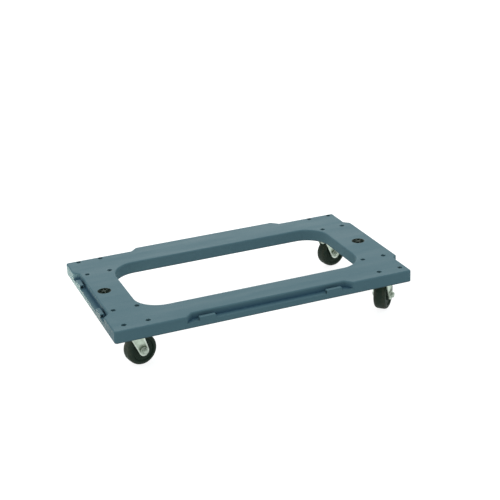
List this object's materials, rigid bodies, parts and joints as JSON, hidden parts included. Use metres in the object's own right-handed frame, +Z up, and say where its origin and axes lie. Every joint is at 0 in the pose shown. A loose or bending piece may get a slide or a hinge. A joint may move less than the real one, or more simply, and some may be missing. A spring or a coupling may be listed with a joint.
{
  "type": "platform trolley",
  "caption": "Low platform trolley: an open-centre moulded deck frame with interlocking lips, recesses and tabs, on swivel casters with solid wheels.",
  "frame": {"origin": "on the floor under the middle of the deck, lips included", "axes": "+X along the deck towards the end with the lip, +Y across it towards the side with the lip, +Z up"},
  "size_m": [0.762, 0.4572, 0.127],
  "materials": {
    "deck_plastic": "slate blue structural foam, matte",
    "insert_plastic": "near-black moulded plastic",
    "zinc_steel": "bright zinc-plated pressed steel",
    "fastener_steel": "zinc-plated fasteners",
    "race_steel": "greased hardened steel",
    "sleeve_steel": "ground steel tube",
    "wheel_rubber": "solid dark rubber, satin"
  },
  "bodies": {
    "frame": {"deck": "deck_plastic", "rope_anchor_left": "insert_plastic", "rope_anchor_right": "insert_plastic", "front_left_plate": "zinc_steel", "front_left_mounting_bolts": "fastener_steel", "front_left_mounting_nuts": "fastener_steel", "front_left_kingpin": "zinc_steel", "front_left_ball_race": "race_steel", "front_right_plate": "zinc_steel", "front_right_mounting_bolts": "fastener_steel", "front_right_mounting_nuts": "fastener_steel", "front_right_kingpin": "zinc_steel", "front_right_ball_race": "race_steel", "back_left_plate": "zinc_steel", "back_left_mounting_bolts": "fastener_steel", "back_left_mounting_nuts": "fastener_steel", "back_left_kingpin": "zinc_steel", "back_left_ball_race": "race_steel", "back_right_plate": "zinc_steel", "back_right_mounting_bolts": "fastener_steel", "back_right_mounting_nuts": "fastener_steel", "back_right_kingpin": "zinc_steel", "back_right_ball_race": "race_steel"},
    "front_left_swivel": {"front_left_fork": "zinc_steel", "front_left_axle_bolt": "fastener_steel", "front_left_axle_nut": "fastener_steel", "front_left_axle_sleeve": "sleeve_steel"},
    "front_left_wheel": {"front_left_wheel": "wheel_rubber"},
    "front_right_swivel": {"front_right_fork": "zinc_steel", "front_right_axle_bolt": "fastener_steel", "front_right_axle_nut": "fastener_steel", "front_right_axle_sleeve": "sleeve_steel"},
    "front_right_wheel": {"front_right_wheel": "wheel_rubber"},
    "back_left_swivel": {"back_left_fork": "zinc_steel", "back_left_axle_bolt": "fastener_steel", "back_left_axle_nut": "fastener_steel", "back_left_axle_sleeve": "sleeve_steel"},
    "back_left_wheel": {"back_left_wheel": "wheel_rubber"},
    "back_right_swivel": {"back_right_fork": "zinc_steel", "back_right_axle_bolt": "fastener_steel", "back_right_axle_nut": "fastener_steel", "back_right_axle_sleeve": "sleeve_steel"},
    "back_right_wheel": {"back_right_wheel": "wheel_rubber"}
  },
  "joints": [
    {"name": "front_left_swivel", "type": "hinge", "parent": "frame", "child": "front_left_swivel", "pos_m": [-0.322, -0.1585, 0.0917], "axis": [0, 0, 1], "continuous": true},
    {"name": "front_left_wheel_spin", "type": "hinge", "parent": "front_left_swivel", "child": "front_left_wheel", "pos_m": [-0.30537, -0.15497, 0.0381], "axis": [-0.2079, 0.9781, 0], "continuous": true},
    {"name": "front_right_swivel", "type": "hinge", "parent": "frame", "child": "front_right_swivel", "pos_m": [0.322, -0.1585, 0.0917], "axis": [0, 0, 1], "continuous": true},
    {"name": "front_right_wheel_spin", "type": "hinge", "parent": "front_right_swivel", "child": "front_right_wheel", "pos_m": [0.33402, -0.14648, 0.0381], "axis": [-0.7071, 0.7071, 0], "continuous": true},
    {"name": "back_left_swivel", "type": "hinge", "parent": "frame", "child": "back_left_swivel", "pos_m": [-0.322, 0.1585, 0.0917], "axis": [0, 0, 1], "continuous": true},
    {"name": "back_left_wheel_spin", "type": "hinge", "parent": "back_left_swivel", "child": "back_left_wheel", "pos_m": [-0.30743, 0.16726, 0.0381], "axis": [-0.515, 0.8572, 0], "continuous": true},
    {"name": "back_right_swivel", "type": "hinge", "parent": "frame", "child": "back_right_swivel", "pos_m": [0.322, 0.1585, 0.0917], "axis": [0, 0, 1], "continuous": true},
    {"name": "back_right_wheel_spin", "type": "hinge", "parent": "back_right_swivel", "child": "back_right_wheel", "pos_m": [0.33869, 0.16174, 0.0381], "axis": [-0.1908, 0.9816, 0], "continuous": true}
  ]
}
